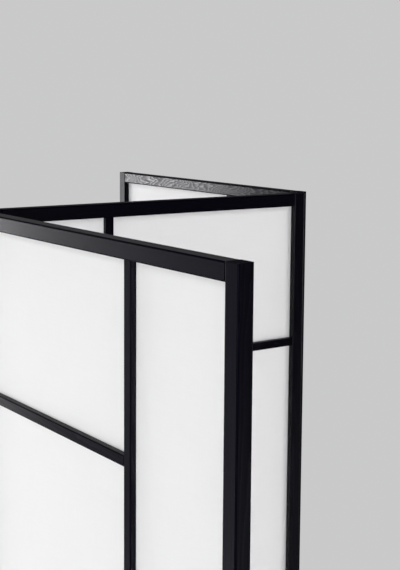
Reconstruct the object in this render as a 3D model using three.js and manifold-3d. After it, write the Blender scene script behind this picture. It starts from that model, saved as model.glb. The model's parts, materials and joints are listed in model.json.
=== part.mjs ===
// A folding screen of three hinged panels. Each panel is a square-stock softwood frame with
// a staggered lattice on both faces and one stretched white cloth held between the lattices.
// Millimetres, +Z up, floor at Z = 0. The front of every panel faces -Y before it is folded,
// and each panel seen from the front has its narrow column of panes on the left.
import * as THREE from 'three';
import { mergeVertices } from 'three/addons/utils/BufferGeometryUtils.js';
import Module from 'manifold-3d';

const wasm = await Module();
wasm.setup();

// Panel and frame
const PANEL_WIDTH = 720;
const PANEL_HEIGHT = 1850;
const FRAME = 27;
const FRAME_ARRIS = 2.5;
const SEAT = 0.3;

// Rail tenons, with round ends as a router cuts them
const RAIL_TENON_HEIGHT = 14;
const RAIL_TENON_THICKNESS = 8;
const RAIL_TENON_LENGTH = 16;

// Cloth and the groove that takes its edges
const CLOTH_THICKNESS = 1;
const CLOTH_TUCK = 5.5;
const GROOVE_WIDTH = CLOTH_THICKNESS + 2 * SEAT;
const GROOVE_DEPTH = 6;

// Lattice strips: one set in front of the cloth, one behind it
const STRIP_WIDTH = 17;
const STRIP_ARRIS = 1.5;
const STRIP_SETBACK = 2.5;
const STRIP_INNER = CLOTH_THICKNESS / 2 + SEAT;
const STRIP_DEPTH = FRAME / 2 - STRIP_SETBACK - STRIP_INNER;
const STUB_WIDTH = 10;
const STUB_THICKNESS = 4.4;
const STUB_LENGTH = 5.5;

// The mullion stands a third of the way across, and the bars divide the opening in sixths
const MULLION_FROM_LEFT = 246;
const OPENING_HEIGHT = PANEL_HEIGHT - 2 * FRAME;
const WIDE_BARS = { lower: 1 / 6, middle: 3 / 6, upper: 5 / 6 };
const NARROW_BARS = { lower: 2 / 6, upper: 4 / 6 };

// Butt hinges let into the outer edges of the stiles
const HINGE_HEIGHTS = { lower: 230, upper: PANEL_HEIGHT - 230 };
const LEAF_HEIGHT = 64;
const LEAF_REACH = 20;
const LEAF_THICKNESS = 1.2;
const LEAF_CORNER = 3;
const KNUCKLE_RADIUS = 2.5;
const PIN_RADIUS = 1;
const PIN_PROUD = KNUCKLE_RADIUS + SEAT;
const PANEL_GAP = 2;
const SCREW_RADIUS = 1.8;
const COUNTERSINK_RADIUS = 3.2;
const SCREW_STEP = 22;

// Angle between neighbouring panels as the screen stands: 0 is folded shut, 180 is flat
const LEFT_FOLD_DEG = 83.2;
const RIGHT_FOLD_DEG = 84.6;

const HALF_WIDTH = PANEL_WIDTH / 2;
const HALF_FRAME = FRAME / 2;
const MULLION_X = MULLION_FROM_LEFT - HALF_WIDTH;
const STRIP_MIDDLE = STRIP_INNER + STRIP_DEPTH / 2;

const stain = new THREE.MeshStandardMaterial({ color: 0x17171a, roughness: 0.45 });
const cloth = new THREE.MeshStandardMaterial({ color: 0xf0f0ee, roughness: 0.9 });
const steel = new THREE.MeshStandardMaterial({ color: 0x202022, roughness: 0.4, metalness: 0.7 });

// ---------------------------------------------------------------- solids

function solidOf(geometry) {
  const bare = geometry.index ? geometry.clone() : geometry;
  bare.deleteAttribute('normal');
  bare.deleteAttribute('uv');
  const merged = mergeVertices(bare, 1e-4);
  return new wasm.Manifold(new wasm.Mesh({
    numProp: 3,
    vertProperties: new Float32Array(merged.attributes.position.array),
    triVerts: new Uint32Array(merged.index.array),
  }));
}

function geometryOf(solid) {
  const mesh = solid.getMesh();
  const geometry = new THREE.BufferGeometry();
  geometry.setAttribute('position', new THREE.BufferAttribute(mesh.vertProperties, 3));
  geometry.setIndex(new THREE.BufferAttribute(mesh.triVerts, 1));
  geometry.computeVertexNormals();
  return geometry;
}

function cut(body, cutters) {
  return cutters.reduce((left, cutter) => left.subtract(solidOf(cutter)), body);
}

function join(body, additions) {
  return additions.reduce((sum, addition) => sum.add(solidOf(addition)), body);
}

// A rectangle centred on the origin; radii are its corners at -x-y, +x-y, +x+y, -x+y
function rectangle(width, depth, radii) {
  const [a, b, c, d] = radii;
  const x = width / 2;
  const y = depth / 2;
  const quarter = Math.PI / 2;
  const shape = new THREE.Shape();
  shape.moveTo(-x + a, -y);
  shape.lineTo(x - b, -y);
  if (b > 0) shape.absarc(x - b, -y + b, b, -quarter, 0);
  shape.lineTo(x, y - c);
  if (c > 0) shape.absarc(x - c, y - c, c, 0, quarter);
  shape.lineTo(-x + d, y);
  if (d > 0) shape.absarc(-x + d, y - d, d, quarter, 2 * quarter);
  shape.lineTo(-x, -y + a);
  if (a > 0) shape.absarc(-x + a, -y + a, a, 2 * quarter, 3 * quarter);
  return shape;
}

// A prism centred on the origin that runs along Z
function prism(shape, length, curveSegments = 1) {
  const geometry = new THREE.ExtrudeGeometry(shape, { depth: length, bevelEnabled: false, curveSegments });
  return geometry.translate(0, 0, -length / 2);
}

// Turns a prism to run along X, with its first direction upright
function laid(geometry) {
  return geometry.rotateY(Math.PI / 2);
}

// A tenon, or with a grown outline the mortise for it: an oval section with half-round ends
function oval(width, thickness, length) {
  const r = thickness / 2;
  return prism(rectangle(width, thickness, [r, r, r, r]), length);
}

function railMortise() {
  const length = 2 * (RAIL_TENON_LENGTH + 1);
  return laid(oval(RAIL_TENON_HEIGHT + 2 * SEAT, RAIL_TENON_THICKNESS + 2 * SEAT, length));
}

function stubMortise() {
  return oval(STUB_WIDTH + 2 * SEAT, STUB_THICKNESS + 2 * SEAT, 2 * (STUB_LENGTH + SEAT));
}

// ---------------------------------------------------------------- frame

// A stile along Z with its inner face at +x. barHeights are the bars that meet it, and
// hingeSide is +1 or -1 for hinges whose pins stand off its +y or -y face, or 0 for none.
function stile(barHeights, hingeSide) {
  const r = FRAME_ARRIS;
  const body = solidOf(prism(rectangle(FRAME, FRAME, [r, r, r, r]), PANEL_HEIGHT, 2))
    .translate([0, 0, PANEL_HEIGHT / 2]);
  const groove = prism(rectangle(2 * GROOVE_DEPTH, GROOVE_WIDTH, [0, 0, 0, 0]),
    OPENING_HEIGHT + 2 * GROOVE_DEPTH);
  const cutters = [groove.translate(HALF_FRAME, 0, PANEL_HEIGHT / 2)];
  for (const z of [HALF_FRAME, PANEL_HEIGHT - HALF_FRAME]) {
    cutters.push(railMortise().translate(HALF_FRAME, 0, z));
  }
  for (const z of barHeights) {
    for (const y of [-STRIP_MIDDLE, STRIP_MIDDLE]) {
      cutters.push(laid(stubMortise()).translate(HALF_FRAME, y, z));
    }
  }
  if (hingeSide !== 0) {
    for (const z of Object.values(HINGE_HEIGHTS)) {
      cutters.push(leafRecess().translate(-HALF_FRAME, hingeSide * HALF_FRAME, z));
    }
  }
  return geometryOf(cut(body, cutters));
}

// The shallow housing for a hinge leaf, open to the face that the pin stands off
function leafRecess() {
  const r = LEAF_CORNER + SEAT;
  const reach = LEAF_REACH + SEAT;
  const outline = rectangle(LEAF_HEIGHT + 2 * SEAT, 2 * reach, [r, r, r, r]);
  return laid(prism(outline, 2 * (LEAF_THICKNESS + SEAT)));
}

// A top rail along X with its groove below, at the height of its own middle
function rail() {
  const length = PANEL_WIDTH - 2 * FRAME - 2 * SEAT;
  const r = FRAME_ARRIS;
  const body = solidOf(laid(prism(rectangle(FRAME, FRAME, [r, r, r, r]), length, 2)));
  const tenons = oval(RAIL_TENON_HEIGHT, RAIL_TENON_THICKNESS, length + 2 * RAIL_TENON_LENGTH);
  const groove = prism(rectangle(2 * GROOVE_DEPTH, GROOVE_WIDTH, [0, 0, 0, 0]), length + 2);
  const cutters = [laid(groove).translate(0, 0, -HALF_FRAME)];
  for (const y of [-STRIP_MIDDLE, STRIP_MIDDLE]) {
    cutters.push(stubMortise().translate(MULLION_X, y, -HALF_FRAME));
  }
  return geometryOf(cut(join(body, [laid(tenons)]), cutters));
}

// ---------------------------------------------------------------- lattice

// A strip's section: flat against the cloth, eased on the two arrises that show
function stripSection() {
  return rectangle(STRIP_WIDTH, STRIP_DEPTH, [0, 0, STRIP_ARRIS, STRIP_ARRIS]);
}

// A strip between two faces that are a clear length apart, with a stub tenon at each end
function strip(clear) {
  const body = solidOf(prism(stripSection(), clear - 2 * SEAT));
  return join(body, [oval(STUB_WIDTH, STUB_THICKNESS, clear + 2 * (STUB_LENGTH - SEAT))]);
}

// A mullion along Z; bars tenon into its +x and -x sides at the heights given for each
function mullion(heightsAtPlus, heightsAtMinus) {
  const cutters = [];
  for (const [heights, x] of [[heightsAtPlus, STRIP_WIDTH / 2], [heightsAtMinus, -STRIP_WIDTH / 2]]) {
    for (const z of heights) {
      cutters.push(laid(stubMortise()).translate(x, 0, z - PANEL_HEIGHT / 2));
    }
  }
  return geometryOf(cut(strip(OPENING_HEIGHT), cutters));
}

function bar(clear) {
  return geometryOf(strip(clear)).rotateY(Math.PI / 2);
}

// ---------------------------------------------------------------- hinges

// A leaf's flat outline in (y, z), the pin at y = 0: rounded far corners and a neck to each knuckle
function leafOutline(knuckles) {
  const near = -PIN_PROUD - SEAT;
  const far = -PIN_PROUD - LEAF_REACH;
  const neck = -PIN_RADIUS - 0.2;
  const half = LEAF_HEIGHT / 2;
  const r = LEAF_CORNER;
  const shape = new THREE.Shape();
  shape.moveTo(near, half);
  shape.lineTo(far + r, half);
  shape.absarc(far + r, half - r, r, Math.PI / 2, Math.PI);
  shape.lineTo(far, -half + r);
  shape.absarc(far + r, -half + r, r, Math.PI, 1.5 * Math.PI);
  shape.lineTo(near, -half);
  for (const [low, high] of knuckles) {
    shape.lineTo(near, low);
    shape.lineTo(neck, low);
    shape.lineTo(neck, high);
    shape.lineTo(near, high);
  }
  return shape;
}

function cylinder(radius, length, sides) {
  return new THREE.CylinderGeometry(radius, radius, length, sides).rotateX(Math.PI / 2);
}

// A leaf on the +x side of its pin. The pinned leaf has the two outer knuckles with the pin
// pressed into them; the other has the middle knuckle, bored to turn on the pin.
function hingeLeaf(pinned) {
  const half = LEAF_HEIGHT / 2;
  const third = LEAF_HEIGHT / 6;
  const knuckles = pinned
    ? [[-half, -third - SEAT / 2], [third + SEAT / 2, half]]
    : [[-third + SEAT / 2, third - SEAT / 2]];
  const upright = new THREE.Matrix4().makeBasis(
    new THREE.Vector3(0, 1, 0),
    new THREE.Vector3(0, 0, 1),
    new THREE.Vector3(1, 0, 0),
  );
  const plate = prism(leafOutline(knuckles), LEAF_THICKNESS).applyMatrix4(upright)
    .translate(PANEL_GAP / 2 + LEAF_THICKNESS / 2, 0, 0);
  const barrels = knuckles.map(([low, high]) =>
    cylinder(KNUCKLE_RADIUS, high - low, 16).translate(0, 0, (low + high) / 2));
  if (pinned) barrels.push(cylinder(PIN_RADIUS, LEAF_HEIGHT + 1, 10));
  const holes = [-SCREW_STEP, 0, SCREW_STEP].map((z) =>
    new THREE.CylinderGeometry(SCREW_RADIUS, COUNTERSINK_RADIUS, LEAF_THICKNESS + 0.02, 12)
      .rotateZ(-Math.PI / 2)
      .translate(PANEL_GAP / 2 + LEAF_THICKNESS / 2, screwOffset(z), z));
  if (!pinned) holes.push(cylinder(PIN_RADIUS + SEAT, LEAF_HEIGHT, 10));
  return geometryOf(cut(join(solidOf(plate), barrels), holes));
}

// The middle screw stands further from the pin than the outer two
function screwOffset(z) {
  return -PIN_PROUD - LEAF_REACH * (z === 0 ? 0.68 : 0.4);
}

// ---------------------------------------------------------------- assembly

function add(parent, name, geometry, material, position, turn = [0, 0, 0]) {
  const mesh = new THREE.Mesh(geometry, material);
  mesh.name = name;
  mesh.position.set(...position);
  mesh.rotation.set(...turn);
  parent.add(mesh);
}

function barHeight(share) {
  return FRAME + OPENING_HEIGHT * share;
}

// One panel, centred on X, standing on Z = 0. Hinge sides are +1 for pins behind the panel,
// -1 for pins in front of it and 0 for a free edge.
function buildPanel(name, leftHingeSide, rightHingeSide) {
  const panel = new THREE.Group();
  const wide = Object.values(WIDE_BARS).map(barHeight);
  const narrow = Object.values(NARROW_BARS).map(barHeight);
  const stileX = HALF_WIDTH - HALF_FRAME;
  const halfTurn = [0, 0, Math.PI];

  add(panel, `${name}_left_stile`, stile(narrow, leftHingeSide), stain, [-stileX, 0, 0]);
  add(panel, `${name}_right_stile`, stile(wide, -rightHingeSide), stain, [stileX, 0, 0], halfTurn);
  add(panel, `${name}_top_rail`, rail(), stain, [0, 0, PANEL_HEIGHT - HALF_FRAME]);
  add(panel, `${name}_bottom_rail`, rail(), stain, [0, 0, HALF_FRAME], [Math.PI, 0, 0]);

  const clothWidth = PANEL_WIDTH - 2 * FRAME + 2 * CLOTH_TUCK;
  const clothHeight = OPENING_HEIGHT + 2 * CLOTH_TUCK;
  const sheet = prism(rectangle(clothWidth, CLOTH_THICKNESS, [0, 0, 0, 0]), clothHeight);
  add(panel, `${name}_cloth`, sheet, cloth, [0, 0, PANEL_HEIGHT / 2]);

  const columns = [
    ['wide', WIDE_BARS, MULLION_X + STRIP_WIDTH / 2, HALF_WIDTH - FRAME],
    ['narrow', NARROW_BARS, -HALF_WIDTH + FRAME, MULLION_X - STRIP_WIDTH / 2],
  ];
  for (const [face, side, turn] of [['back', 1, [0, 0, 0]], ['front', -1, halfTurn]]) {
    const y = side * STRIP_MIDDLE;
    const upright = side > 0 ? mullion(wide, narrow) : mullion(narrow, wide);
    add(panel, `${name}_${face}_mullion`, upright, stain, [MULLION_X, y, PANEL_HEIGHT / 2], turn);
    for (const [column, bars, from, to] of columns) {
      for (const [level, share] of Object.entries(bars)) {
        const place = [(from + to) / 2, y, barHeight(share)];
        add(panel, `${name}_${face}_${column}_${level}_bar`, bar(to - from), stain, place, turn);
      }
    }
  }
  return panel;
}

// Both leaves of each hinge on one fold, in the panels that they are screwed to.
// side is +1 where the pins stand behind the screen and -1 where they stand in front.
function addHinges(fold, side, plusPanel, minusPanel, plusIsPinned) {
  const y = side * (HALF_FRAME + PIN_PROUD);
  const edge = HALF_WIDTH + PANEL_GAP / 2;
  const plusTurn = side > 0 ? [0, 0, 0] : [Math.PI, 0, 0];
  const minusTurn = side > 0 ? [0, Math.PI, 0] : [0, 0, Math.PI];
  for (const [level, z] of Object.entries(HINGE_HEIGHTS)) {
    const plusName = `${fold}_${level}_hinge_${plusIsPinned ? 'pin' : 'outer'}_leaf`;
    const minusName = `${fold}_${level}_hinge_${plusIsPinned ? 'outer' : 'pin'}_leaf`;
    add(plusPanel, plusName, hingeLeaf(plusIsPinned), steel, [-edge, y, z], plusTurn);
    add(minusPanel, minusName, hingeLeaf(!plusIsPinned), steel, [edge, y, z], minusTurn);
  }
}

// Hangs a panel on the pins of the middle panel and swings it up from flat
function hang(panel, pinX, pinY, panelX, swingDegrees) {
  const pivot = new THREE.Group();
  pivot.position.set(pinX, pinY, 0);
  pivot.rotation.z = THREE.MathUtils.degToRad(swingDegrees);
  panel.position.set(panelX - pinX, -pinY, 0);
  pivot.add(panel);
  return pivot;
}

const left = buildPanel('left_panel', 0, -1);
const middle = buildPanel('middle_panel', -1, 1);
const right = buildPanel('right_panel', 1, 0);
addHinges('left_fold', -1, middle, left, true);
addHinges('right_fold', 1, right, middle, false);

const pinX = HALF_WIDTH + PANEL_GAP / 2;
const pinY = HALF_FRAME + PIN_PROUD;
const screen = new THREE.Group();
screen.add(middle);
screen.add(hang(left, -pinX, -pinY, -2 * pinX, 180 - LEFT_FOLD_DEG));
screen.add(hang(right, pinX, pinY, 2 * pinX, 180 - RIGHT_FOLD_DEG));

// The two folds differ a little, so the whole is shifted to centre its outline on the origin
screen.updateMatrixWorld(true);
const centre = new THREE.Box3().setFromObject(screen, true).getCenter(new THREE.Vector3());
screen.position.set(-centre.x, -centre.y, 0);
console.log('left pin at', (-pinX - centre.x).toFixed(3), (-pinY - centre.y).toFixed(3));
console.log('right pin at', (pinX - centre.x).toFixed(3), (pinY - centre.y).toFixed(3));

export default screen;
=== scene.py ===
# %% [markdown]
# # A folding screen of three hinged panels
# The screen is a row of three tall wooden frames. A white cloth is stretched inside each frame, a
# thin lattice stands in front of and behind the cloth, and small hinges join the frames into a Z.
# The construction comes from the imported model: every stick, leaf and pin is already there, at its
# real size. This file gives each of them its finish, weaves the three cloths, drives the hinge
# screws, and sets up a small daylight studio round the screen.

# %% Load the construction
import json
import math
import random

import bmesh
import bpy
from mathutils import Euler, Matrix, Vector

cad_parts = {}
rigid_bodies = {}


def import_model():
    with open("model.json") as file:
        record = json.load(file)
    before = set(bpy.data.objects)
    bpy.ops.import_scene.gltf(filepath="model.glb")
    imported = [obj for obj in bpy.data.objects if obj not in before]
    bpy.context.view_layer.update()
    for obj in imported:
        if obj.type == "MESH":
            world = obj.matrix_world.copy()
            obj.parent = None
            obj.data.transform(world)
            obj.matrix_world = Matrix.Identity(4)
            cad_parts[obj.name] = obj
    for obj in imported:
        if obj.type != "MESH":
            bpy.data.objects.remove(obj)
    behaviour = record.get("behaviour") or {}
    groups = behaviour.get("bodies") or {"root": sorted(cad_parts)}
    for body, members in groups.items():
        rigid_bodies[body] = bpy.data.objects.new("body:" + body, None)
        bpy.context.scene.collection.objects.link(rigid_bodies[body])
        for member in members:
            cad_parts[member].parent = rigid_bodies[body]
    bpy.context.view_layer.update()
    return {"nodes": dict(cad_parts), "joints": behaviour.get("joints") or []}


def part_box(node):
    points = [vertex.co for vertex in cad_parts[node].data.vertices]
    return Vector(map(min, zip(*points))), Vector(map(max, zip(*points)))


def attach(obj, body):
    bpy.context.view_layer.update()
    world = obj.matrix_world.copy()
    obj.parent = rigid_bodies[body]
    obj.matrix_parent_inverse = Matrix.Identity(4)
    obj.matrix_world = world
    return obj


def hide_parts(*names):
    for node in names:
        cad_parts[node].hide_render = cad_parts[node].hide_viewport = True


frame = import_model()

# %% [markdown]
# ## The camera
# The picture is taken from close by, a little above the screen, along its left side. A camera is a
# place, a direction and a focal length. The focal length was found in pixels, and a camera wants it
# in millimetres: the longer side of the picture fills the 36 mm of the sensor.
# In the picture the uprights stay nearly parallel although the camera is above them. That is what
# a camera does that looks almost level, with the picture taken from below the middle of its view,
# so part of the downward look is a shift of the lens and only part of it is a pitch.

# %% Camera
QUARTER_TURN = math.pi / 2
IMAGE_HEIGHT_PX = 570
AXIS_ROW_PX = 200
FOCAL_PX = 1025.69
SENSOR_MM = 36.0
CAMERA_PLACE = (-1.01512, -1.77769, 2.05442)
CAMERA_AZIMUTH = math.radians(57.926)
CAMERA_PITCH = math.radians(5.665)
CAMERA_ROLL = math.radians(0.430)

lens = bpy.data.cameras.new("photo_camera")
lens.sensor_width = SENSOR_MM
lens.lens = SENSOR_MM * FOCAL_PX / IMAGE_HEIGHT_PX
lens.shift_y = (AXIS_ROW_PX - IMAGE_HEIGHT_PX / 2) / IMAGE_HEIGHT_PX
aim = Matrix.Rotation(CAMERA_AZIMUTH - QUARTER_TURN, 3, "Z")
aim = aim @ Matrix.Rotation(QUARTER_TURN - CAMERA_PITCH, 3, "X")
camera = bpy.data.objects.new("photo_camera", lens)
camera.location = CAMERA_PLACE
camera.rotation_euler = (aim @ Matrix.Rotation(CAMERA_ROLL, 3, "Z")).to_euler()
bpy.context.scene.collection.objects.link(camera)
bpy.context.scene.camera = camera
print("focal length", round(lens.lens, 2), "mm, shift", round(lens.shift_y, 3))

# %% [markdown]
# ## How the materials are written
# A material is a graph of small nodes. Wired by hand it is hard to read, so `Signal` wraps one
# output and lets Python's own operators add the Math nodes: `1 - mask` or `a * b + c` read as they
# would on paper. `Finish` holds one material, and its `node` method makes any other node: first
# its settings, then the values or links of its sockets. The Mix node keeps a set of sockets for
# each kind of data, so those for colours are reached by their numbers.

# %% Signals and finishes
MIX_FIRST_COLOUR = 6
MIX_SECOND_COLOUR = 7
MIX_COLOUR_RESULT = 2


class Signal:
    """One output of a node, which arithmetic extends with Math nodes."""

    def __init__(self, finish, socket):
        self.finish = finish
        self.socket = socket

    def __add__(self, other):
        return self.finish.maths("ADD", self, other)

    def __sub__(self, other):
        return self.finish.maths("SUBTRACT", self, other)

    def __rsub__(self, other):
        return self.finish.maths("SUBTRACT", other, self)

    def __mul__(self, other):
        return self.finish.maths("MULTIPLY", self, other)

    def __truediv__(self, other):
        return self.finish.maths("DIVIDE", self, other)

    def __pow__(self, other):
        return self.finish.maths("POWER", self, other)

    __radd__ = __add__
    __rmul__ = __mul__


class Node:
    """A node whose outputs come back as signals."""

    def __init__(self, finish, node):
        self.finish = finish
        self.node = node

    def out(self, which):
        return Signal(self.finish, self.node.outputs[which])


class Finish:
    """A material under construction, or the world, which is made of the same kind of nodes."""

    def __init__(self, owner):
        self.owner = owner
        owner.use_nodes = True
        self.tree = owner.node_tree
        self.tree.nodes.clear()

    def node(self, kind, sockets=None, **settings):
        """Any node. Its settings come first, because they decide which sockets it has."""
        made = self.tree.nodes.new("ShaderNode" + kind)
        for name, value in settings.items():
            setattr(made, name, value)
        for name, value in (sockets or {}).items():
            if isinstance(value, Signal):
                self.tree.links.new(value.socket, made.inputs[name])
            else:
                made.inputs[name].default_value = value
        return Node(self, made)

    def maths(self, operation, *numbers):
        return self.node("Math", dict(enumerate(numbers)), operation=operation).out(0)

    def vector_maths(self, operation, *vectors):
        """The node itself, because some operations end in a Vector and some in a Value."""
        return self.node("VectorMath", dict(enumerate(vectors)), operation=operation)

    def stretched(self, place, scale):
        """A place scaled along each of its three axes."""
        return self.vector_maths("MULTIPLY", place, scale).out("Vector")

    def length(self, place):
        """How far a place is from the origin."""
        return self.vector_maths("LENGTH", place).out("Value")

    def placed(self, place, centre, turn):
        """A place as it is measured from a centre, along axes with that turn."""
        sockets = {"Vector": place, "Location": centre, "Rotation": turn}
        return self.node("Mapping", sockets, vector_type="TEXTURE").out("Vector")

    def noise(self, place, seed, detail=2.0, roughness=0.5):
        """A cloudy pattern from 0 to 1. Each seed gives another one."""
        sockets = {"Vector": place, "W": seed, "Scale": 1.0, "Detail": detail, "Roughness": roughness}
        return self.node("TexNoise", sockets, noise_dimensions="4D").out("Fac")

    def ramp(self, value, low, high):
        """0 below low and 1 above high, with a smooth climb between them."""
        sockets = {"Value": value, "From Min": low, "From Max": high}
        return self.node("MapRange", sockets, interpolation_type="SMOOTHSTEP").out(0)

    def tint(self, share, first, second):
        """The first colour where share is 0, and the second where it is 1."""
        sockets = {0: share, MIX_FIRST_COLOUR: first, MIX_SECOND_COLOUR: second}
        return self.node("Mix", sockets, data_type="RGBA").out(MIX_COLOUR_RESULT)

    def bump(self, height, relief):
        """The normal of a surface on which a height of 1 stands out by relief, in metres."""
        return self.node("Bump", {"Height": height, "Distance": relief, "Strength": 1.0}).out(0)

    def surface(self, shader, output="OutputMaterial"):
        """Ends the graph with its output, and gives back the material or world."""
        self.node(output, {"Surface": shader})
        return self.owner


def new_finish(name):
    return Finish(bpy.data.materials.new(name))


# %% [markdown]
# ## Black-stained softwood
# Every stick is planed softwood, stained black and sprayed with a thin semi-gloss lacquer. Colour
# hardly shows the grain any more: it is read from the gloss, because the lacquer sinks into the
# soft early wood and stands proud on the hard late wood of each year ring.
#
# A picture of grain would smear over the edges of a stick, so the rings are modelled as they grow,
# round a heart that runs beside the stick at a slight angle. `Tree` holds what differs from one
# stick to the next. Its side and lean are in degrees, and its away, from the middle of the stick
# to the heart, and its ring, the width of one year, are in metres.

# %% Trees
class Tree:
    """Where a stick stood in its tree, and how it took the lacquer."""

    def __init__(self, side, away, lean, ring, wander, contrast, lacquer, arris_bare, seed):
        self.side = Matrix.Rotation(math.radians(side), 3, "X")
        self.away = away
        self.lean = math.radians(lean)
        self.ring = ring
        self.wander = wander
        self.contrast = contrast
        self.lacquer = lacquer
        self.arris_bare = arris_bare
        self.seed = seed

    def heart(self):
        """A point on the tree's axis, from the middle of the stick."""
        return self.side @ Vector((0, self.away, 0))

    def tilt(self):
        """The way the tree's axis runs, turned to the side and leaning along the stick."""
        return (self.side @ Matrix.Rotation(self.lean, 3, "Z")).to_euler()


# %% [markdown]
# ### Year rings
# The distance from the heart, divided by the width of a ring, counts the years, and what is left
# after the point says how far through its year the wood is. That draws long stripes on
# quarter-sawn faces, nested arcs on flat-sawn faces and curved rings on the sawn ends, all from
# one solid pattern. A slow noise makes the rings wander as real ones do. Late wood grows harder
# and harder through the year and then stops short, so the mask climbs slowly and drops fast.
# A stretch says how often a pattern changes in a metre, along the stick and then across it.

# %% Year rings
WANDER_STRETCH = (9, 45, 45)
ACROSS_ONLY = (0, 1, 1)
LATE_GROWTH = 2.2
YEAR_CLOSES = 0.90


def late_wood_of(wood, stick, tree):
    """A mask of the hard late wood of each ring."""
    trunk = wood.placed(stick, tree.heart(), tree.tilt())
    radius = wood.length(wood.stretched(trunk, ACROSS_ONLY))
    wander = wood.noise(wood.stretched(stick, WANDER_STRETCH), tree.seed, detail=3.0) * tree.wander
    year = wood.maths("FRACT", radius / tree.ring + wander)
    return year ** LATE_GROWTH * (1 - wood.ramp(year, YEAR_CLOSES, 1.0))


# %% [markdown]
# ### Where the lacquer is missing
# Wet lacquer draws back from an edge, so the arrises and the thirsty sawn ends keep little of it
# and stay matt and dark. The half size of the stick tells the shader where they are: an end is
# within a fraction of a millimetre of the half length, and an arris is where the two distances
# across the stick add up to nearly the whole of the corner. The arrises that show are eased round,
# on the real stick and in the construction, and the lacquer stops where that easing starts.

# %% Ends and arrises
END_GRAIN_STARTS = 0.0004
END_GRAIN_WHOLE = 0.0001
END_BARE = 0.75
EASING_BLEND = 0.94


def bare_parts(wood, stick, half, eased, arris_bare):
    """How bare of lacquer the wood is, and a mask of the end grain."""
    reach = wood.node("SeparateXYZ", {0: wood.vector_maths("ABSOLUTE", stick).out("Vector")})
    end_grain = wood.ramp(reach.out("X"), half[0] - END_GRAIN_STARTS, half[0] - END_GRAIN_WHOLE)
    corner = half[1] + half[2]
    arris = wood.ramp(reach.out("Y") + reach.out("Z"), corner - eased, corner - EASING_BLEND * eased)
    bare = arris * (1 - end_grain) * arris_bare + end_grain * END_BARE
    return bare, end_grain


# %% [markdown]
# ### The finish of one stick
# Between the rings run fine fibres and open pores, and here and there a patch of the stick is
# livelier than the rest. The figure, which is what the eye reads as grain, is mostly late wood
# with some fibre. It lightens the stain by a hair, and above all it sets how much lacquer lies on
# top: the clear coat of the shader. Late wood and fibres also stand up by less than a tenth of a
# millimetre, and pores sink in, so a low light catches them. Each pattern has its own seed, which
# is added to the tree's, so that no two of them follow each other.

# %% Black wood
STAIN_DARK = (0.0006, 0.0004, 0.0019, 1.0)
STAIN_THIN = (0.0022, 0.0018, 0.0065, 1.0)
END_DARKENS = 0.7
FIBRE_STRETCH = (22, 900, 900)
FIBRE_SEED = 3.1
PORE_STRETCH = (70, 1700, 1700)
PORE_SEED = 7.7
PORE_STARTS = 0.60
PORE_WHOLE = 0.72
PATCH_STRETCH = (14, 60, 60)
PATCH_SEED = 11.3
LATE_IN_FIGURE = 0.65
FIBRE_IN_FIGURE = 0.35
FIGURE_MEAN = 0.33
COAT_SHARE = 0.52
QUIET = 0.25
LIVELY = 1.5
LATE_STANDS = 0.7
FIBRE_STANDS = 0.3
PORE_SINKS = 0.5
RING_RELIEF = 0.00009
WOOD_ROUGHNESS = 0.55
FIGURE_SMOOTHS = 0.15
END_ROUGHENS = 0.10
PATCH_ROUGHENS = 0.06


def black_wood(name, centre, turn, half, eased, tree):
    """The finish of a stick with that centre, turn, half size and easing, out of that tree."""
    wood = new_finish(name)
    stick = wood.placed(wood.node("TexCoord").out("Object"), centre, turn)
    late_wood = late_wood_of(wood, stick, tree)
    fibre = wood.noise(wood.stretched(stick, FIBRE_STRETCH), tree.seed + FIBRE_SEED,
                       detail=3.0, roughness=0.6)
    specks = wood.noise(wood.stretched(stick, PORE_STRETCH), tree.seed + PORE_SEED)
    pores = wood.ramp(specks, PORE_STARTS, PORE_WHOLE)
    patches = wood.noise(wood.stretched(stick, PATCH_STRETCH), tree.seed + PATCH_SEED)
    bare, end_grain = bare_parts(wood, stick, half, eased, tree.arris_bare)

    figure = late_wood * LATE_IN_FIGURE + fibre * FIBRE_IN_FIGURE
    liveliness = tree.contrast * (QUIET + LIVELY * patches)
    gloss = tree.lacquer * (COAT_SHARE + liveliness * (figure - FIGURE_MEAN)) * (1 - bare)
    height = late_wood * LATE_STANDS + fibre * FIBRE_STANDS - pores * PORE_SINKS
    smooth = WOOD_ROUGHNESS - FIGURE_SMOOTHS * figure
    shader = wood.node("BsdfPrincipled", {
        "Base Color": wood.tint(figure * (1 - END_DARKENS * end_grain), STAIN_DARK, STAIN_THIN),
        "Roughness": smooth + END_ROUGHENS * end_grain + PATCH_ROUGHENS * patches,
        "IOR": 1.5,
        "Specular IOR Level": 0.008,
        "Coat Weight": gloss,
        "Coat Roughness": 0.21,
        "Coat IOR": 1.42,
        "Normal": wood.bump(height, RING_RELIEF),
    })
    return wood.surface(shader.out(0))


# %% [markdown]
# ### A tree for every stick
# Each stick gets its own tree: a heart on one side or the other, a lean of a degree or so, and
# rings two to three millimetres wide. The name of the stick seeds its random numbers, so the same
# stick looks the same in every run. A few sticks are listed with values of their own. One rail was
# sawn across a lean in the trunk, so its rings cross the face in broken arcs, and the light from
# behind makes them the liveliest grain on the screen. Another is quarter-sawn and takes the lacquer
# evenly. The other four only hold more or less lacquer than the sticks round them, and one keeps it
# on its arrises too.

# %% Choose the trees
UPRIGHTS = ("stile", "mullion")
CHOSEN = {
    "right_panel_top_rail": dict(
        side=168, away=0.042, lean=-5.0, ring=0.0017, wander=11.0, contrast=1.45, lacquer=0.90),
    "left_panel_top_rail": dict(
        side=90, away=0.060, lean=0.3, ring=0.0022, wander=1.2, contrast=0.12, lacquer=1.92),
    "left_panel_left_stile": dict(lacquer=1.08),
    "left_panel_back_mullion": dict(lacquer=0.72),
    "middle_panel_right_stile": dict(lacquer=0.90, arris_bare=0.1),
    "right_panel_right_stile": dict(lacquer=0.43),
}


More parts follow.
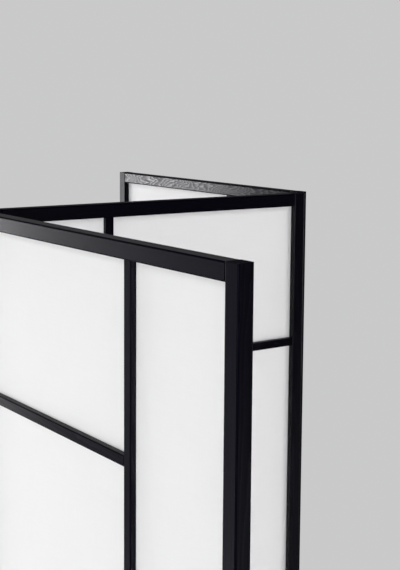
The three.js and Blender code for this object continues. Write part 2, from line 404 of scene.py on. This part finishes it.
def tree_of(node, chance):
    """A tree drawn by lot, with what was chosen for this stick put in its place."""
    drawn = dict(
        side=chance.choice((0, 90, 180, 270)) + chance.uniform(-25, 25),
        away=chance.uniform(0.030, 0.060),
        lean=chance.uniform(0.4, 1.6),
        ring=chance.uniform(0.0020, 0.0030),
        wander=2.6,
        contrast=chance.uniform(0.4, 0.7),
        lacquer=chance.uniform(0.50, 0.65) if node.endswith(UPRIGHTS) else chance.uniform(0.68, 0.82),
        arris_bare=0.94,
        seed=chance.uniform(0, 50),
    )
    drawn.update(CHOSEN.get(node, {}))
    return Tree(**drawn)


print(len(CHOSEN), "sticks are chosen by hand")

# %% [markdown]
# ### Stain every stick
# The grain runs along X in the shader, so an upright's pattern is turned on end, and every pattern
# turns with its panel. At the lower end of its travel an outer panel lies along X, so that limit
# of its joint tells how far it is turned here. A turned stick's box is wider than the stick, so
# its real size is read from its twin in the middle panel, which stands square.

# %% Stain the sticks
PANELS = ("left_panel", "middle_panel", "right_panel")
TURNS = {joint["child"]: math.radians(-joint["range_deg"][0]) for joint in frame["joints"]}
FRAME_EASED = 0.0025
STRIP_EASED = 0.0016


def turn_of(panel):
    """The angle at which a panel stands, from flat along X."""
    return TURNS.get(panel, 0.0)


def centre_of(node):
    low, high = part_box(node)
    return (low + high) / 2


def half_size_of(node):
    low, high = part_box(node)
    return (high - low) / 2


def paint(node, finish):
    """Gives a piece of the construction one finish all over."""
    for slot in frame["nodes"][node].material_slots:
        slot.material = finish


for panel in PANELS:
    sticks = [n for n in frame["nodes"] if n.startswith(panel) and not n.endswith("_cloth")]
    for node in sorted(sticks):
        chance = random.Random(node)
        upright = node.endswith(UPRIGHTS)
        own = half_size_of(node.replace(panel, "middle_panel"))
        half = (own.z, own.y, own.x) if upright else (own.x, own.y, own.z)
        turn = Euler((0, -QUARTER_TURN if upright else 0, turn_of(panel)))
        eased = FRAME_EASED if node.endswith(("stile", "rail")) else STRIP_EASED
        tree = tree_of(node, chance)
        paint(node, black_wood(f"black_wood_{node}", centre_of(node), turn, half, eased, tree))
    print(panel, len(sticks), "sticks stained")

# %% [markdown]
# ## The cloths
# One white cloth is stretched in each frame, with its edges tucked into a groove in the wood. A
# flat plane would give the right outline but no life: a real cloth is tight along the lattice
# that pinches it and gives a little between. So the panes between the sticks are measured first,
# on the middle panel, because it stands square and the three panels are alike.

# %% Measure the panes
def stretch_between(low_node, high_node, axis):
    """The clear stretch between two sticks of the flat middle panel, from the cloth's centre."""
    centre = centre_of("middle_panel_cloth")
    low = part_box("middle_panel_" + low_node)[1][axis] - centre[axis]
    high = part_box("middle_panel_" + high_node)[0][axis] - centre[axis]
    return low, high


def panes_of(column, levels, left, right):
    """Each pane of one column as a pair of stretches, across and up."""
    across = stretch_between(left, right, 0)
    edges = ["bottom_rail"] + [f"back_{column}_{level}_bar" for level in levels] + ["top_rail"]
    return [(across, stretch_between(*pair, 2)) for pair in zip(edges, edges[1:])]


PANES = (panes_of("narrow", ("lower", "upper"), "left_stile", "back_mullion")
         + panes_of("wide", ("lower", "middle", "upper"), "back_mullion", "right_stile"))
print(len(PANES), "panes a panel")

# %% [markdown]
# ### White plain weave
# The cloth is a plain weave of matt white thread. At arm's length the eye sees no thread, only a
# surface that is not quite even: here and there a thicker thread, a slub, runs along or across it.
# Light from behind shines through. About two thirds of what falls on a face goes on through it as
# a soft glow and the rest comes back matt. Light crosses both faces of the cloth, so a little over
# a third of it gets right through.

# %% Weave
THREAD_PITCH = 0.0009
THREAD_RELIEF = 0.00002
THREAD_HEIGHT = 0.5
SLUB_UP = (650, 14, 1)
SLUB_ACROSS = (14, 650, 1)
SLUB_STARTS = 0.35
SLUB_WHOLE = 0.65
CLOTH_WHITE = (0.900, 0.900, 0.898, 1.0)
CLOTH_SLUB = (0.915, 0.915, 0.913, 1.0)
CLOTH_ROUGHNESS = 0.82
SLUB_ROUGHENS = 0.1
SHINE_THROUGH = 0.65


def woven_white():
    """The finish of the cloths, on their own UV map, which is in metres."""
    cloth = new_finish("white_cloth")
    place = cloth.node("UVMap", uv_map="weave").out("UV")
    split = cloth.node("SeparateXYZ", {0: place})
    waves = 2 * math.pi / THREAD_PITCH
    warp = cloth.maths("SINE", split.out("X") * waves)
    weft = cloth.maths("SINE", split.out("Y") * waves)
    slub_up = cloth.noise(cloth.stretched(place, SLUB_UP), seed=3.0)
    slub_across = cloth.noise(cloth.stretched(place, SLUB_ACROSS), seed=8.0)
    slubs = (slub_up + slub_across) / 2
    normal = cloth.bump(warp * weft * THREAD_HEIGHT + slubs, THREAD_RELIEF)
    colour = cloth.tint(cloth.ramp(slubs, SLUB_STARTS, SLUB_WHOLE), CLOTH_WHITE, CLOTH_SLUB)
    matt = cloth.node("BsdfPrincipled", {
        "Base Color": colour,
        "Roughness": CLOTH_ROUGHNESS + SLUB_ROUGHENS * slubs,
        "Specular IOR Level": 0.2,
        "Normal": normal,
    }).out(0)
    glow = cloth.node("BsdfTranslucent", {"Color": colour, "Normal": normal}).out(0)
    return cloth.surface(cloth.node("MixShader", {0: SHINE_THROUGH, 1: matt, 2: glow}).out(0))


cloth_finish = woven_white()
print(cloth_finish.name, "has a thread every", THREAD_PITCH * 1000, "mm")

# %% [markdown]
# ### Stretch the cloths
# Each cloth starts as a fine flat grid. Its width and height are kept as its UV map, so the
# threads keep their real size. Then it is stood up, every pane of it is eased in or out by a
# fraction of a millimetre, highest in the middle of the pane, and it gets the thickness of the
# cloth. A simulation would do the same with more work, because a cloth as tight as this one has
# no folds. Last of all it goes to its place in its panel.

# %% Stretch the cloths
CLOTH_WIDTH = 0.677
CLOTH_HEIGHT = 1.807
CLOTH_THICKNESS = 0.0004
GRID_STEP = 0.020
PANE_GIVE = 0.0007


def ease(x, z, gives):
    """How far a point of the cloth stands off its middle plane."""
    for ((left, right), (low, high)), give in zip(PANES, gives):
        if left < x < right and low < z < high:
            across = (x - left) / (right - left)
            up = (z - low) / (high - low)
            return give * math.sin(math.pi * across) * math.sin(math.pi * up)
    return 0.0


def woven_grid(gives):
    """One cloth round the origin, upright along X, with that give in each pane."""
    weave = bmesh.new()
    bmesh.ops.create_grid(weave, x_segments=round(CLOTH_WIDTH / GRID_STEP),
                          y_segments=round(CLOTH_HEIGHT / GRID_STEP), size=0.5)
    bmesh.ops.scale(weave, vec=(CLOTH_WIDTH, CLOTH_HEIGHT, 1), verts=weave.verts)
    uv = weave.loops.layers.uv.new("weave")
    for face in weave.faces:
        face.smooth = True
        for loop in face.loops:
            loop[uv].uv = loop.vert.co.xy
    bmesh.ops.rotate(weave, matrix=Matrix.Rotation(QUARTER_TURN, 3, "X"), verts=weave.verts)
    for vert in weave.verts:
        vert.co.y += ease(vert.co.x, vert.co.z, gives)
    bmesh.ops.solidify(weave, geom=weave.faces[:], thickness=CLOTH_THICKNESS)
    bmesh.ops.recalc_face_normals(weave, faces=weave.faces)
    return weave


def keep(mesh, name, finish):
    """Turns a finished bmesh into an object at the origin, with its place in its mesh."""
    data = bpy.data.meshes.new(name)
    mesh.to_mesh(data)
    mesh.free()
    data.materials.append(finish)
    made = bpy.data.objects.new(name, data)
    bpy.context.scene.collection.objects.link(made)
    return made


for panel in PANELS:
    chance = random.Random(panel)
    weave = woven_grid([chance.uniform(-PANE_GIVE, PANE_GIVE) for _ in PANES])
    stand = Matrix.Translation(centre_of(panel + "_cloth")) @ Matrix.Rotation(turn_of(panel), 4, "Z")
    bmesh.ops.transform(weave, matrix=stand, verts=weave.verts)
    cloth = keep(weave, panel + "_white_cloth", cloth_finish)
    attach(cloth, panel)
    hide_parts(panel + "_cloth")
    print(cloth.name, len(cloth.data.polygons), "faces")

# %% [markdown]
# ## Hinges
# The leaves are pressed steel with a black coating, a little glossier than the wood. A fine grain
# breaks its gloss, and handling has scuffed it here and there, mostly up and down. Where it is
# scuffed the coating is thin, so it is paler, smoother and more like bare metal.

# %% Coated steel
COATING = (0.0045, 0.0045, 0.005, 1.0)
WORN_COATING = (0.05, 0.05, 0.052, 1.0)
STEEL_GRAIN = (2600, 2600, 2600)
STEEL_RELIEF = 0.00002
SCUFF_STRETCH = (900, 900, 120)
SCUFF_STARTS = 0.62
SCUFF_WHOLE = 0.78
COATED_METALLIC = 0.35
SCUFF_METALLIC = 0.5
COATED_ROUGHNESS = 0.42
SCUFF_SMOOTHS = 0.12
GRAIN_ROUGHENS = 0.06


def coated_steel():
    """The finish of the hinge leaves and their screws."""
    steel = new_finish("black_coated_steel")
    spot = steel.node("TexCoord").out("Object")
    grain = steel.noise(steel.stretched(spot, STEEL_GRAIN), seed=1.0)
    marks = steel.noise(steel.stretched(spot, SCUFF_STRETCH), seed=4.0, detail=4.0)
    scuffs = steel.ramp(marks, SCUFF_STARTS, SCUFF_WHOLE)
    shader = steel.node("BsdfPrincipled", {
        "Base Color": steel.tint(scuffs, COATING, WORN_COATING),
        "Metallic": COATED_METALLIC + SCUFF_METALLIC * scuffs,
        "Roughness": COATED_ROUGHNESS - SCUFF_SMOOTHS * scuffs + GRAIN_ROUGHENS * grain,
        "Normal": steel.bump(grain, STEEL_RELIEF),
    })
    return steel.surface(shader.out(0))


steel_finish = coated_steel()
LEAVES = sorted(n for n in frame["nodes"] if n.endswith("_leaf"))
for node in LEAVES:
    paint(node, steel_finish)
print(len(LEAVES), "hinge leaves coated")

# %% [markdown]
# ### A screw
# Three countersunk screws hold each leaf. A screw head is a small cone with a slightly domed top
# and a cross recess. It starts as a grid of five squares by five: the outer points are drawn out
# to the rim of the head, the middle cross is pushed down for the recess, and the rim is extruded
# down the cone to the shank. That is fewer than eighty faces, plenty for a head 6 mm across.
# The grid's points lie one, three or five tenths of its width from the middle, which is how they
# are told apart.

# %% One screw
HEAD_SQUARES = 5
HEAD_RADIUS = 0.0030
HEAD_DEPTH = 0.0013
SHANK_RADIUS = 0.0014
SHANK_LENGTH = 0.0030
DOME = 0.00012
RECESS_ARM = 0.0017
RECESS_WIDTH = 0.0005
RECESS_DEPTH = 0.0009
RECESS_TAPER = 0.55
LINES = {1: RECESS_WIDTH / 2, 3: RECESS_ARM, HEAD_SQUARES: HEAD_RADIUS}


def head_place(point):
    """Where a point of the flat grid, which reaches from -1 to 1, goes on the domed head."""
    lines = [round(abs(c) * HEAD_SQUARES) for c in point.xy]
    flat = Vector([math.copysign(LINES[line], c) for line, c in zip(lines, point.xy)])
    if max(lines) == HEAD_SQUARES:
        angle = math.atan2(point.y, point.x)
        flat = HEAD_RADIUS * Vector((math.cos(angle), math.sin(angle)))
    return flat.x, flat.y, DOME * (1 - (flat.length / HEAD_RADIUS) ** 2)


def in_recess(face):
    """Whether a face of the head belongs to the middle cross, which lies along the two axes."""
    near, far = sorted(abs(c) for c in face.calc_center_median().xy)
    return near < RECESS_WIDTH / 4 and far < RECESS_ARM


def only(kind, geometry):
    """The vertices or the edges of what an operator gives back."""
    return [item for item in geometry if isinstance(item, kind)]


def screw():
    """A screw with the middle of its head at the origin, pointing down."""
    made = bmesh.new()
    bmesh.ops.create_grid(made, x_segments=HEAD_SQUARES, y_segments=HEAD_SQUARES, size=1.0)
    for vert in made.verts:
        vert.co = head_place(vert.co)
    cross = [face for face in made.faces if in_recess(face)]
    rim = [edge for edge in made.edges if edge.is_boundary]
    sunk = only(bmesh.types.BMVert, bmesh.ops.extrude_face_region(made, geom=cross)["geom"])
    bmesh.ops.translate(made, vec=(0, 0, -RECESS_DEPTH), verts=sunk)
    bmesh.ops.scale(made, vec=(RECESS_TAPER, RECESS_TAPER, 1), verts=sunk)
    bmesh.ops.delete(made, geom=cross, context="FACES_ONLY")
    for drop in (HEAD_DEPTH, SHANK_LENGTH):
        grown = bmesh.ops.extrude_edge_only(made, edges=rim)["geom"]
        for vert in only(bmesh.types.BMVert, grown):
            x, y = vert.co.xy.normalized() * SHANK_RADIUS
            vert.co = (x, y, vert.co.z - drop)
        rim = only(bmesh.types.BMEdge, grown)
    bmesh.ops.contextual_create(made, geom=rim)
    bmesh.ops.recalc_face_normals(made, faces=made.faces)
    return made


pattern = screw()
open_edges = [edge for edge in pattern.edges if edge.is_boundary]
print("a screw has", len(pattern.faces), "faces,", len(open_edges), "open edges")

# %% [markdown]
# ### Drive the screws
# A leaf lies let into the edge of its frame, flush with the wood and half the gap between the
# panels from the pin. The pin stands a little proud of the frame's side, and from that side the
# leaf reaches 20 mm across the edge. Its three screws are staggered, so that they don't split the
# wood along one line of grain, and each stops at its own turn of the driver. One leaf of a hinge
# is on the middle panel, which stands square, and the other is on the panel that turns.

# %% Drive the screws
LEAF_FACE = 0.0010
PIN_PROUD = 0.0028
LEAF_REACH = 0.020
HEAD_STANDS = 0.00005
SCREW_PLACES = ((-0.022, 0.40), (0.0, 0.68), (0.022, 0.40))
FOLDS = {joint["name"]: joint for joint in frame["joints"]}


def screws_of(leaf, pin, inward, deep):
    """The three screws of one leaf. inward points along the panel, and deep through its thickness."""
    chance = random.Random(leaf)
    group = bmesh.new()
    for step, share in SCREW_PLACES:
        spot = (Vector(pin) + inward * (LEAF_FACE - HEAD_STANDS)
                + deep * (PIN_PROUD + LEAF_REACH * share))
        spot.z = centre_of(leaf).z + step
        aim = (-inward).to_track_quat("Z", "Y").to_matrix().to_4x4()
        spin = Matrix.Rotation(chance.uniform(0, QUARTER_TURN), 4, "Z")
        copy = bpy.data.meshes.new("screw")
        pattern.to_mesh(copy)
        copy.transform(Matrix.Translation(spot) @ aim @ spin)
        group.from_mesh(copy)
        bpy.data.meshes.remove(copy)
    return group


for fold, side in (("left_fold", 1), ("right_fold", -1)):
    joint = FOLDS[fold]
    swing = Matrix.Rotation(turn_of(joint["child"]), 3, "Z")
    leaves = {
        "pin": (joint["parent"], Vector((side, 0, 0)), Vector((0, side, 0))),
        "outer": (joint["child"], swing @ Vector((-side, 0, 0)), swing @ Vector((0, side, 0))),
    }
    for level in ("lower", "upper"):
        for kind, (body, inward, deep) in leaves.items():
            leaf = f"{fold}_{level}_hinge_{kind}_leaf"
            group = screws_of(leaf, joint["pos_m"], inward, deep)
            screws = keep(group, leaf.replace("_leaf", "_screws"), steel_finish)
            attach(screws, body)
            print(screws.name, len(screws.data.polygons), "faces")

# %% [markdown]
# ## Studio
# The picture is lit like a shop photograph. A tall window behind on the left is what the wood of
# the two outer panels mirrors. Broad soft lamps on the left and in front brighten the cloths, and
# a fainter one stands on the right, where one rounded arris of the middle panel catches it. A very
# faint one hangs overhead. None stands where the faces of the middle panel's wood would mirror it,
# so they stay nearly black. A lamp is set by its radiance, which is what a glossy face shows of
# it, and its power follows from its size.

# %% Lamps
WHITE = (1.0, 1.0, 1.0)
DAYLIGHT = (1.0, 0.99, 1.012)


def soft_lamp(name, place, target, width, height, radiance, colour=WHITE):
    """A rectangle that glows with the same radiance all over, turned towards its target."""
    light = bpy.data.lights.new(name, "AREA")
    light.shape = "RECTANGLE"
    light.size = width
    light.size_y = height
    light.energy = radiance * math.pi * width * height
    light.color = colour
    lamp = bpy.data.objects.new(name, light)
    lamp.location = place
    lamp.rotation_euler = (Vector(place) - Vector(target)).to_track_quat("Z", "Y").to_euler()
    lamp.visible_camera = False
    bpy.context.scene.collection.objects.link(lamp)
    print(name, "glows at", radiance)


soft_lamp("window", place=(-1.30, 2.85, 1.45), target=(0.2, 0.4, 1.45),
          width=1.3, height=2.2, radiance=11.1, colour=DAYLIGHT)
soft_lamp("left_fill", place=(-5.4, -1.5, 1.8), target=(0.0, 0.1, 1.3),
          width=3.0, height=3.2, radiance=10.8)
soft_lamp("front_fill", place=(-2.7, -5.4, 1.8), target=(0.0, 0.0, 1.3),
          width=3.6, height=3.0, radiance=2.4)
soft_lamp("middle_fill", place=(-0.2, -6.0, 1.8), target=(0.0, 0.0, 1.3),
          width=1.7, height=3.0, radiance=6.6)
soft_lamp("right_fill", place=(4.35, -1.75, 1.15), target=(0.0, 0.0, 1.2),
          width=1.5, height=1.9, radiance=4.0)
soft_lamp("overhead", place=(0.2, 0.2, 4.4), target=(0.0, 0.0, 1.0),
          width=3.0, height=3.0, radiance=0.3)

# %% [markdown]
# ### The room
# The room round the screen is pale behind it and dark everywhere else. It hardly lights the cloth,
# but it is what the top faces mirror. Only the camera sees it as an even grey, because a paper
# backdrop in a studio is even too.

# %% Room
BACKDROP_GREY = (0.585, 0.585, 0.590, 1.0)
ROOM_PALE = (0.095, 0.095, 0.100, 1.0)
ROOM_DARK = (0.025, 0.025, 0.03, 1.0)
PALE_AZIMUTH = math.radians(60)
PALE_RISE = 0.1
PALE_SIDE = (math.cos(PALE_AZIMUTH), math.sin(PALE_AZIMUTH), PALE_RISE)
PALE_STARTS = 0.5
PALE_WHOLE = 0.95

room = Finish(bpy.data.worlds.new("room"))
direction = room.node("TexCoord").out("Generated")
facing = room.vector_maths("DOT_PRODUCT", direction, PALE_SIDE).out("Value")
room_colour = room.tint(room.ramp(facing, PALE_STARTS, PALE_WHOLE), ROOM_DARK, ROOM_PALE)
seen = room.node("LightPath").out("Is Camera Ray")
backdrop = room.tint(seen, room_colour, BACKDROP_GREY)
glow = room.node("Background", {"Color": backdrop, "Strength": 1.0}).out(0)
bpy.context.scene.world = room.surface(glow, "OutputWorld")
print("the room is palest", round(math.degrees(PALE_AZIMUTH)), "degrees round from X")

# %% [markdown]
# ### The floor
# The floor is a pale disc. Near the screen it is plain matt paper, so it takes the real shadow.
# Further out it blends into the grey of the backdrop, for the camera only, so that no horizon
# shows and the light that it throws back at the screen stays honest.

# %% Floor
FLOOR_RADIUS = 30.0
FLOOR_SIDES = 96
FLOOR_PAPER = (0.60, 0.60, 0.605, 1.0)
SHADOW_REACH = 0.8
BLEND_REACH = 1.9

paper = new_finish("pale_floor")
distance = paper.length(paper.node("TexCoord").out("Object"))
far = paper.ramp(distance, SHADOW_REACH, BLEND_REACH)
near_shader = paper.node("BsdfDiffuse", {"Color": FLOOR_PAPER}).out(0)
far_shader = paper.node("Emission", {"Color": BACKDROP_GREY, "Strength": 1.0}).out(0)
camera_ray = paper.node("LightPath").out("Is Camera Ray")
blend = paper.node("MixShader", {0: far * camera_ray, 1: near_shader, 2: far_shader})

disc = bmesh.new()
bmesh.ops.create_circle(disc, cap_ends=True, segments=FLOOR_SIDES, radius=FLOOR_RADIUS)
floor = keep(disc, "floor", paper.surface(blend.out(0)))
print("the floor blends into the backdrop from", SHADOW_REACH, "to", BLEND_REACH, "m")

# %% [markdown]
# ## Out of the studio
# The Standard view transform shows a colour as it is written, and the other ones would bend it.

# %% View
bpy.context.scene.view_settings.view_transform = "Standard"
print("view transform", bpy.context.scene.view_settings.view_transform)
